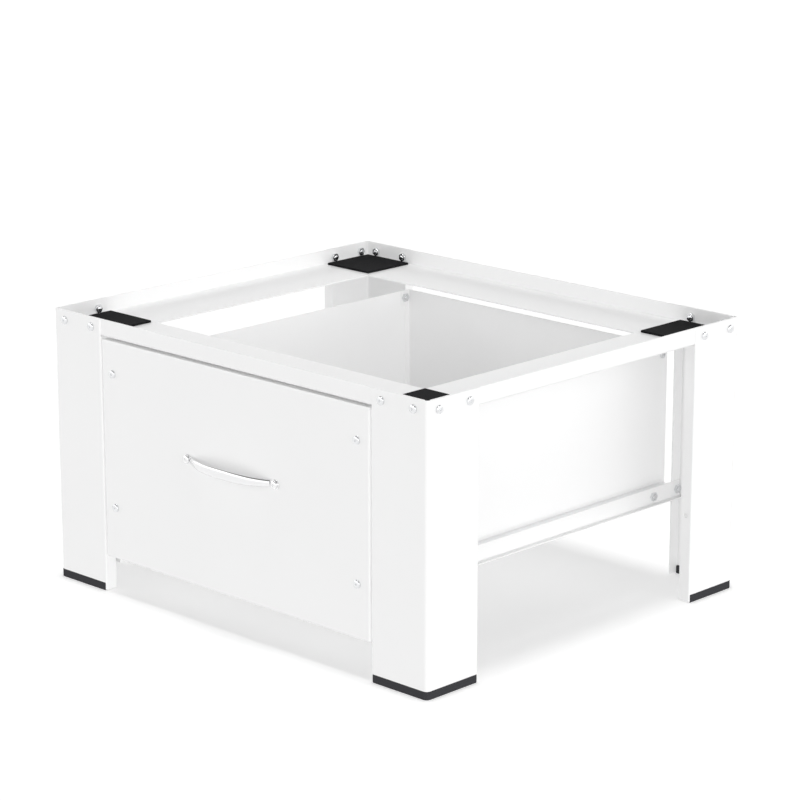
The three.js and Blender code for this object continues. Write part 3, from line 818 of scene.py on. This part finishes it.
def seat_of(node, direction, height):
    """The middle of a screw head's seat, worked out from the node's box."""
    low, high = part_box(node)
    middle = (low + high) / 2
    axis = max(range(3), key=lambda i: abs(direction[i]))
    top = high[axis] if direction[axis] > 0 else low[axis]
    middle[axis] = top - direction[axis] * (height + GAP)
    return middle


class PEDESTAL_OT_screws(bpy.types.Operator):
    """Turn the screws and nuts and seat them in their holes"""

    bl_idname = "pedestal.screws"
    bl_label = "Screws"

    def execute(self, context):
        size, fitting = sheet_sizes(), fitting_sizes()
        pan = (fitting.head, fitting.head_height)
        low = (fitting.low_head, fitting.low_head_height)
        leg, drawer = size.leg_sheet, size.drawer_sheet
        rail, front, back, bracket, inner = [], [], [], [], []
        for corner, sx, sy in CORNERS:
            for number in (1, 2):
                rail.append((f"{corner}_face_bolt_{number}", (0, sy, 0)))
                rail.append((f"{corner}_side_bolt_{number}", (sx, 0, 0)))
            bracket.append((f"{corner}_bracket_bolt", (-sx, 0, 0)))
            inner.append((f"{corner}_slide_bolt", (-sx, 0, 0)))
        for side, sx in SIDES:
            for level in ("lower", "upper"):
                front.append((f"{side}_{level}_front_screw", (0, -1, 0)))
            back.append((f"{side}_back_bolt", (sx, 0, 0)))
        self.seat_all(rail, "rail_screw", leg + size.rail_sheet, pan)
        self.seat_all(front, "front_screw", 2 * drawer + GAP, pan)
        self.seat_all(back, "back_screw", 2 * drawer, pan)
        self.seat_all(bracket, "bracket_screw", 2 * leg, low)
        self.seat_all(inner, "slide_screw", size.slide_sheet + leg, low)
        return {"FINISHED"}

    def seat_all(self, nodes, kind, grip, head):
        """Makes a screw once and copies it to each node, with its head in that direction."""
        pattern = make_screw(kind, grip, *head)
        for node, direction in nodes:
            mesh = pattern.data.copy()
            mesh.transform(seated(seat_of(node, direction, head[1]), direction))
            screw = bpy.data.objects.new(f"{node}_turned", mesh)
            bpy.context.scene.collection.objects.link(screw)
            dress(screw, node, "chrome", "screw_plating")
        bpy.data.objects.remove(pattern)


# ---- Brackets and ball slides -------------------------------------------------------------


class PEDESTAL_OT_slides(bpy.types.Operator):
    """Fold the side brackets and build the ball slides"""

    bl_idname = "pedestal.slides"
    bl_label = "Brackets and slides"

    def execute(self, context):
        for side, sx in SIDES:
            self.bracket(f"{side}_bracket", sx)
            self.channel(f"{side}_slide_outer", sx)
            self.channel(f"{side}_slide_inner", -sx)
            self.cage(f"{side}_slide_cage", sx)
        return {"FINISHED"}

    def section(self, node, web_side):
        """A node's box, and the X of its web and of its open side."""
        low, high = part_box(node)
        web, lip = (high.x, low.x) if web_side > 0 else (low.x, high.x)
        return low, high, web, lip

    def bracket(self, node, sx):
        size = sheet_sizes()
        low, high, web, rim = self.section(node, -sx)
        path = [(web, high.z), (web, low.z), (rim, low.z)]
        folds = (size.bracket_fold,)
        bracket = fold_sheet(f"{node}_sheet", "y", path, folds, low.y, high.y, size.leg_sheet)
        dress(soften(bracket, size.edge), node, "white_coat", "powder_coat")

    def channel(self, node, web_side):
        size = sheet_sizes()
        low, high, web, lip = self.section(node, web_side)
        path = [(lip, high.z), (web, high.z), (web, low.z), (lip, low.z)]
        folds = (size.slide_fold, size.slide_fold)
        member = fold_sheet(f"{node}_channel", "y", path, folds, low.y, high.y, size.slide_sheet)
        dress(soften(member, SLIDE_EDGE), node, "zinc_steel", "slide_zinc")

    def cage(self, node, sx):
        """A thin channel with a row of balls in each of its two lips."""
        sheet, fitting = sheet_sizes().cage_sheet, fitting_sizes()
        low, high, web, lip = self.section(node, sx)
        middle = (low.z + high.z) / 2
        ball_z = high.z - fitting.ball - middle
        half = ball_z + sheet / 2
        top, bottom = middle + half, middle - half
        path = [(lip, top), (web, top), (web, bottom), (lip, bottom)]
        folds = (2 * sheet, 2 * sheet)
        cage = fold_sheet(f"{node}_strip", "y", path, folds, low.y, high.y, sheet)
        soften(cage, CAGE_EDGE)
        bm = bmesh.new()
        bm.from_mesh(cage.data)
        ball_x = (lip + web) / 2 - sx * sheet / 2
        centre_y = (low.y + high.y) / 2
        for number in range(fitting.balls):
            y = centre_y + (number - (fitting.balls - 1) / 2) * fitting.ball_step
            for level in (middle - ball_z, middle + ball_z):
                self.ball(bm, fitting.ball, (ball_x, y, level))
        bm.to_mesh(cage.data)
        bm.free()
        dress(cage, node, "zinc_steel", "slide_zinc", "ball_steel")

    def ball(self, bm, radius, place):
        """A ball in the cage's second material."""
        before = set(bm.faces)
        grown = bmesh.ops.create_uvsphere(bm, u_segments=20, v_segments=12, radius=radius)["verts"]
        bmesh.ops.translate(bm, verts=grown, vec=place)
        for face in set(bm.faces) - before:
            face.material_index = 1
            face.smooth = True


# ---- Drawer -------------------------------------------------------------------------------


class PEDESTAL_OT_drawer(bpy.types.Operator):
    """Fold the drawer's front, sides, back and floor"""

    bl_idname = "pedestal.drawer"
    bl_label = "Drawer box"

    def execute(self, context):
        self.fold_front("drawer_front")
        for side, sx in SIDES:
            self.fold_side(f"drawer_{side}_side", sx)
        self.fold_back("drawer_back")
        self.cut_floor("drawer_floor")
        return {"FINISHED"}

    def coat(self, piece, node, edge):
        dress(soften(piece, edge), node, "white_coat", "powder_coat")

    def fold_front(self, node):
        """A shallow tray, open to the back, with every edge rolled over."""
        size = sheet_sizes()
        bm = bmesh.new()
        block(bm, *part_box(node))
        rear = [face for face in bm.faces if face.normal.y > 0.5]
        bmesh.ops.delete(bm, geom=rear, context="FACES_ONLY")
        bevel(bm, folded_edges(bm), size.drawer_fold, size.tray_steps)
        bmesh.ops.recalc_face_normals(bm, faces=bm.faces)
        front = max(bm.faces, key=lambda face: face.calc_area())
        if front.normal.y > 0:
            bmesh.ops.reverse_faces(bm, faces=bm.faces)
        tray = give_wall(piece_from(bm, f"{node}_tray"), size.drawer_sheet)
        self.coat(tray, node, DRAWER_EDGE)

    def fold_side(self, node, sx):
        """A wall with a flange to the front panel and one under the floor.

        The wall is cut out where the two flanges would meet.
        """
        size = sheet_sizes()
        low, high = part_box(node)
        skin, rim = (high.x, low.x) if sx > 0 else (low.x, high.x)
        relief = size.drawer_fold + size.drawer_relief
        bm = bmesh.new()
        outline = [
            (low.y, high.z),
            (low.y, low.z + relief),
            (low.y + relief, low.z + relief),
            (low.y + relief, low.z),
            (high.y, low.z),
            (high.y, high.z),
        ]
        verts = [bm.verts.new((skin, y, z)) for y, z in outline]
        wall = bm.faces.new(verts)
        wall.normal_update()
        if wall.normal.x * sx < 0:
            wall.normal_flip()
        front_crease = (verts[0], verts[1], rim - skin)
        floor_crease = (verts[3], verts[4], -sx * size.drawer_ledge)
        for first, second, reach in (front_crease, floor_crease):
            edge = bm.edges.get((first, second))
            grown = bmesh.ops.extrude_edge_only(bm, edges=[edge])["geom"]
            moved = only(grown, bmesh.types.BMVert)
            bmesh.ops.translate(bm, verts=moved, vec=(reach, 0, 0))
        bmesh.ops.recalc_face_normals(bm, faces=bm.faces)
        bm.normal_update()
        largest = max(bm.faces, key=lambda face: face.calc_area())
        if largest.normal.x * sx < 0:
            bmesh.ops.reverse_faces(bm, faces=bm.faces)
        bevel(bm, folded_edges(bm), size.drawer_fold, size.steps)
        side = give_wall(piece_from(bm, f"{node}_sheet"), size.drawer_sheet)
        self.coat(side, node, DRAWER_EDGE)

    def fold_back(self, node):
        """A panel with a narrow flange each side that widens to an ear at the top."""
        size = sheet_sizes()
        low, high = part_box(node)
        path = [(low.x, low.y), (low.x, high.y), (high.x, high.y), (high.x, low.y)]
        folds = (size.drawer_fold, size.drawer_fold)
        back = fold_sheet(f"{node}_sheet", "z", path, folds, low.z, high.z, size.drawer_sheet)
        below_ears = notch(
            (low.x - BEYOND, high.x + BEYOND),
            (low.y - BEYOND, high.y - size.back_flange),
            (low.z - BEYOND, high.z - size.back_ear),
        )
        self.coat(cut(back, below_ears), node, DRAWER_EDGE)

    def cut_floor(self, node):
        bm = bmesh.new()
        block(bm, *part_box(node))
        self.coat(piece_from(bm, f"{node}_panel"), node, FLOOR_EDGE)


# ---- Handle -------------------------------------------------------------------------------

BOW_STEPS = 64
BOW_FLATNESS = 3  # Power of the bow's curve: 2 is a parabola, and more is flatter in the middle
GLANCE = 0.004  # How far along the bow its direction is measured, as a share of its length
FACING = (0, -1, 0)


class PEDESTAL_OT_handle(bpy.types.Operator):
    """Sweep the chrome bow of the handle and set its lugs and screws"""

    bl_idname = "pedestal.handle"
    bl_label = "Handle"

    def execute(self, context):
        size = fitting_sizes()
        low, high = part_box("drawer_handle")
        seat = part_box("drawer_front")[0].y - GAP
        middle = (low.z + high.z) / 2
        spacing = (high.x - low.x - size.lug_width) / 2
        bow = self.sweep(size, seat, low.y, middle)
        for sx in (-1, 1):
            self.add_lug(bow, size, seat, sx * spacing, middle)
        bow.data.shade_smooth()
        bow.data.set_sharp_from_angle(angle=math.radians(50))
        dress(bow, "drawer_handle", "chrome", "handle_chrome")
        return {"FINISHED"}

    def sweep(self, size, seat, outer, middle):
        """An oval ring pulled along the bow in short steps. It swells towards the middle."""
        lowest = size.lug_thickness / 2
        highest = seat - outer - size.bar_thickness / 2
        swell = size.bar_height - size.bar_end_height

        def point(t):
            s = 2 * t - 1
            out = lowest + (highest - lowest) * (1 - abs(s) ** BOW_FLATNESS)
            return Vector((size.bow_span / 2 * s, seat - out, middle))

        def tall(t):
            return size.bar_end_height + swell * (1 - (2 * t - 1) ** 2)

        bm = bmesh.new()
        ring = bmesh.ops.create_circle(bm, cap_ends=True, segments=32, radius=1)["verts"]
        edges = list(bm.edges)
        bmesh.ops.scale(bm, verts=ring, vec=(size.bar_thickness / 2, tall(0) / 2, 1))
        upright = Matrix.Rotation(QUARTER_TURN, 3, "X")
        along = Matrix.Rotation(-QUARTER_TURN, 3, "Z")
        bmesh.ops.rotate(bm, verts=ring, cent=(0, 0, 0), matrix=along @ upright)
        level = Matrix.Translation((0, 0, -middle))
        where, facing = Vector(), 0.0
        for step in range(BOW_STEPS + 1):
            t = step / BOW_STEPS
            ahead = point(min(1, t + GLANCE)) - point(max(0, t - GLANCE))
            angle = math.atan2(ahead.y, ahead.x)
            if step:
                grown = bmesh.ops.extrude_edge_only(bm, edges=edges)["geom"]
                ring = only(grown, bmesh.types.BMVert)
                edges = [
                    edge
                    for edge in only(grown, bmesh.types.BMEdge)
                    if edge.verts[0] in ring and edge.verts[1] in ring
                ]
                growth = tall(t) / tall((step - 1) / BOW_STEPS)
                bmesh.ops.scale(bm, verts=ring, vec=(1, 1, growth), space=level)
            turn = Matrix.Rotation(angle - facing, 3, "Z")
            bmesh.ops.rotate(bm, verts=ring, cent=where, matrix=turn)
            bmesh.ops.translate(bm, verts=ring, vec=point(t) - where)
            where, facing = point(t), angle
        bmesh.ops.holes_fill(bm, edges=edges, sides=0)
        bmesh.ops.recalc_face_normals(bm, faces=bm.faces)
        bow = piece_from(bm, "drawer_handle_bow")
        behind = notch((-1, 1), (seat, 1), (0, 1))
        return cut(bow, behind)

    def add_lug(self, bow, size, seat, x, middle):
        """A flat oval lug with a neck to the bow's end, and the screw through it."""
        front = seat - size.lug_thickness
        flat = size.lug_width / 2 - size.lug_radius
        bm = bmesh.new()
        grown = rod(bm, "y", x, middle, size.lug_radius, front, seat, sides=48)
        for vert in grown:
            vert.co.x += flat if vert.co.x > x + SAME else -flat
        inner = (size.bow_span - size.bar_thickness) / 2
        near, far = sorted((math.copysign(inner, x), x))
        half = size.bar_end_height / 2
        block(bm, (near, front, middle - half), (far, seat, middle + half))
        join_into(bow, soften(piece_from(bm, "lug"), LUG_EDGE, segments=3))
        grip = size.lug_thickness + sheet_sizes().drawer_sheet
        screw = make_screw("handle_screw", grip, size.head, size.head_height)
        screw.data.transform(seated((x, front + GAP, middle), FACING))
        join_into(bow, screw)


# ---- Stage --------------------------------------------------------------------------------

FLOOR_REACH = 300  # Metres from the middle to an edge, so that no view shows the edge
TOP_SPREAD = 14  # Degrees
FILL_SPREAD = 40  # Degrees

# The camera that was fitted to the photograph. Its place is taken from the middle of the legs.
PHOTO_WIDTH = 800
FOCAL_PIXELS = 2970.7
SENSOR_WIDTH = 36
CAMERA_PLACE = (2.4438, -2.5123, 1.1828)
CAMERA_TURN = math.radians(-44.095)
CAMERA_DROP = math.radians(15.156)
CAMERA_RANGE = 1000


class PEDESTAL_OT_stage(bpy.types.Operator):
    """Lay the pale floor and set the lights and the camera"""

    bl_idname = "pedestal.stage"
    bl_label = "Stage"

    def execute(self, context):
        scene = context.scene
        scene.view_settings.view_transform = "Standard"
        self.floor()
        self.room(scene)
        look = finishes()
        self.light("top_light", (0, 0, 1), TOP_SPREAD, look.top)
        self.light("right_fill", (1.0, 0.14, 0.05), FILL_SPREAD, look.right_fill, fill=True)
        self.light("low_fill", (0.7, -0.7, -0.2), FILL_SPREAD, look.low_fill, fill=True)
        self.camera(scene)
        return {"FINISHED"}

    def floor(self):
        """A floor that takes shadows. The world stands in for the light that it would give."""
        bm = bmesh.new()
        bmesh.ops.create_grid(bm, x_segments=1, y_segments=1, size=FLOOR_REACH)
        floor = piece_from(bm, "floor")
        floor.data.materials.append(finish_named("pale_floor"))
        floor.visible_diffuse = False
        floor.visible_shadow = False

    def room(self, scene):
        """White walls under a dim ceiling, over ground that is dark right below the object."""
        look = finishes()
        world = bpy.data.worlds.new("soft_room")
        scene.world = world
        world.use_nodes = True
        nodes, links = world.node_tree.nodes, world.node_tree.links
        way = nodes.new("ShaderNodeTexCoord")
        split = nodes.new("ShaderNodeSeparateXYZ")
        place = nodes.new("ShaderNodeMapRange")
        place.inputs["From Min"].default_value = -1.0
        ramp = nodes.new("ShaderNodeValToRGB")
        # Tones by the height of a direction: -1 is straight down and 1 is straight up.
        tones = (
            (-0.6, look.nadir),
            (-0.4, look.ground),
            (0.0, look.ground),
            (0.02, 1.0),
            (0.44, 1.0),
            (0.56, look.ceiling),
        )
        stops = ramp.color_ramp.elements
        while len(stops) < len(tones):
            stops.new(1.0)
        for stop, (height, tone) in zip(stops, tones):
            stop.position = 0.5 + height / 2
            stop.color = (tone, tone, tone, 1.0)
        links.new(way.outputs["Generated"], split.inputs[0])
        links.new(split.outputs["Z"], place.inputs["Value"])
        links.new(place.outputs["Result"], ramp.inputs[0])
        links.new(ramp.outputs["Color"], nodes["Background"].inputs["Color"])
        nodes["Background"].inputs["Strength"].default_value = look.room

    def light(self, name, place, spread, power, fill=False):
        """A far softbox in a direction, as wide as its spread. A fill casts no shadow."""
        data = bpy.data.lights.new(name, "SUN")
        data.energy = power
        data.angle = math.radians(spread)
        data.use_shadow = not fill
        light = bpy.data.objects.new(name, data)
        bpy.context.scene.collection.objects.link(light)
        light.location = place
        light.rotation_euler = (-Vector(place)).to_track_quat("-Z", "Y").to_euler()

    def camera(self, scene):
        """The place and lens fitted to the photograph, which is square."""
        data = bpy.data.cameras.new("photo_camera")
        data.sensor_width = SENSOR_WIDTH
        data.lens = FOCAL_PIXELS / PHOTO_WIDTH * SENSOR_WIDTH
        data.clip_end = CAMERA_RANGE
        camera = bpy.data.objects.new("photo_camera", data)
        scene.collection.objects.link(camera)
        body_middle = (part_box("front_left_leg")[0].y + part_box("rear_left_leg")[1].y) / 2
        x, y, z = CAMERA_PLACE
        camera.location = (x, y + body_middle, z)
        level = math.cos(CAMERA_DROP)
        aim = Vector(
            (
                math.sin(CAMERA_TURN) * level,
                math.cos(CAMERA_TURN) * level,
                -math.sin(CAMERA_DROP),
            )
        )
        camera.rotation_euler = aim.to_track_quat("-Z", "Y").to_euler()
        scene.camera = camera


# ---- Panel and registration ---------------------------------------------------------------


class PEDESTAL_PT_panel(bpy.types.Panel):
    """The pedestal's pieces, in the order they are made"""

    bl_label = "Washer Pedestal"
    bl_idname = "PEDESTAL_PT_panel"
    bl_space_type = "VIEW_3D"
    bl_region_type = "UI"
    bl_category = "Pedestal"

    def draw(self, context):
        layout = self.layout
        for operator in OPERATORS:
            layout.operator(operator.bl_idname)
        for group in (sheet_sizes(), fitting_sizes(), finishes()):
            box = layout.box()
            for prop in group.bl_rna.properties:
                if not prop.is_readonly and prop.identifier != "name":
                    box.prop(group, prop.identifier)


GROUPS = {
    "pedestal_sheet": SheetSizes,
    "pedestal_fittings": FittingSizes,
    "pedestal_finishes": Finishes,
}
OPERATORS = (
    PEDESTAL_OT_stage,
    PEDESTAL_OT_legs,
    PEDESTAL_OT_feet,
    PEDESTAL_OT_rails,
    PEDESTAL_OT_slides,
    PEDESTAL_OT_drawer,
    PEDESTAL_OT_screws,
    PEDESTAL_OT_handle,
)


def register():
    for group in GROUPS.values():
        bpy.utils.register_class(group)
    for name, group in GROUPS.items():
        setattr(bpy.types.Scene, name, PointerProperty(type=group))
    for operator in OPERATORS:
        bpy.utils.register_class(operator)
    bpy.utils.register_class(PEDESTAL_PT_panel)


def unregister():
    bpy.utils.unregister_class(PEDESTAL_PT_panel)
    for operator in reversed(OPERATORS):
        bpy.utils.unregister_class(operator)
    for name, group in GROUPS.items():
        delattr(bpy.types.Scene, name)
        bpy.utils.unregister_class(group)


def main():
    register()
    bpy.ops.pedestal.stage()
    bpy.ops.pedestal.legs()
    bpy.ops.pedestal.feet()
    bpy.ops.pedestal.rails()
    bpy.ops.pedestal.slides()
    bpy.ops.pedestal.drawer()
    bpy.ops.pedestal.screws()
    bpy.ops.pedestal.handle()


if __name__ == "__main__":
    main()
